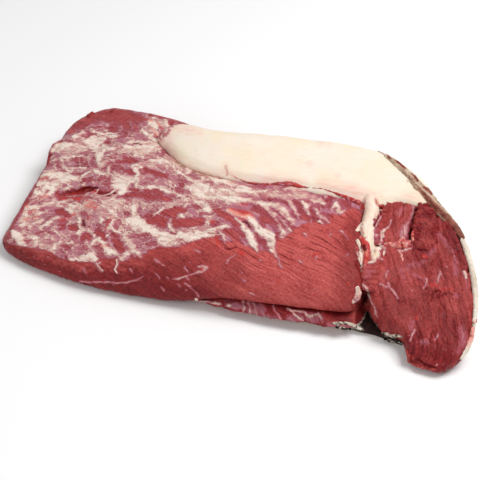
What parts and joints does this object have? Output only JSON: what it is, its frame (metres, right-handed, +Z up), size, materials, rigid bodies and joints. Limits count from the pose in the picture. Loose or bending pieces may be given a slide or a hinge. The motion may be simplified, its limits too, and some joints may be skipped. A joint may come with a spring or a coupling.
{
  "type": "raw beef brisket",
  "caption": "Whole raw beef brisket lying fat side down: a slab of lean under silverskin, a thick lobe at one end, hard fat in the seam along the back and a fat cap below.",
  "frame": {"origin": "on the surface that the brisket lies on, at the middle of its bounding box", "axes": "+X along the brisket from its thin end to its thick end, +Y to the long edge with the hard fat, +Z up, away from the fat cap"},
  "size_m": [0.5236, 0.2946, 0.0888],
  "materials": {
    "flat_lean": "moist cut lean with silverskin",
    "point_lean": "moist cut lean",
    "hard_fat": "smooth satin fat",
    "fat_cap": "soft satin fat, dried at the rim"
  },
  "bodies": {
    "root": {"flat_lean": "flat_lean", "point_lean": "point_lean", "hard_fat": "hard_fat", "fat_cap": "fat_cap"}
  },
  "joints": []
}
